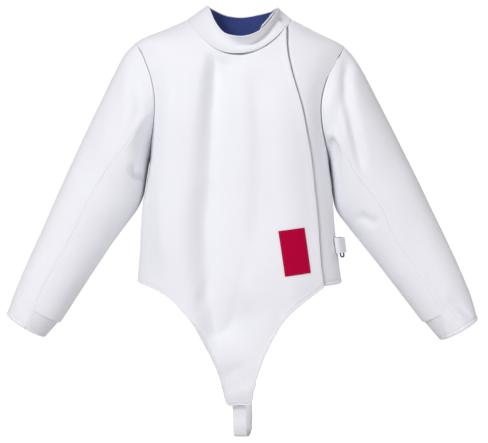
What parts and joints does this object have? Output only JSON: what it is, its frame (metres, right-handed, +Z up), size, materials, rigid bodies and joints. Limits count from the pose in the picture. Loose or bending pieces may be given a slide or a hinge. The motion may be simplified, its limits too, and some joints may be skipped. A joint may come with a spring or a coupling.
{
  "type": "fencing jacket",
  "caption": "White fencing jacket worn by no one, with a stand collar, a flap closing on the wearer's left, long sleeves and a crotch tail on an elastic strap.",
  "frame": {"origin": "middle of the base of the neck, level with the two points where the shoulder seams meet the collar", "axes": "+X to the wearer's left, -Y forwards, +Z up"},
  "size_m": [0.9358, 0.2307, 0.8576],
  "materials": {
    "cloth": "matt white woven cloth",
    "collar_cloth": "matt white woven cloth, slightly greyer",
    "lining": "matt dark blue cloth",
    "elastic": "white ribbed elastic",
    "webbing": "white woven webbing",
    "patch": "plain crimson woven patch",
    "slider": "dark satin wire"
  },
  "bodies": {
    "root": {"front_main": "cloth", "front_under": "cloth", "back": "cloth", "sleeve_right_upper": "cloth", "sleeve_right_under": "cloth", "sleeve_left_upper": "cloth", "sleeve_left_under": "cloth", "cuff_band_right": "elastic", "cuff_band_left": "elastic", "collar": "collar_cloth", "collar_lining": "lining", "crotch_strap": "elastic", "waist_tab": "webbing", "waist_slider": "slider", "hip_patch": "patch"}
  },
  "joints": []
}
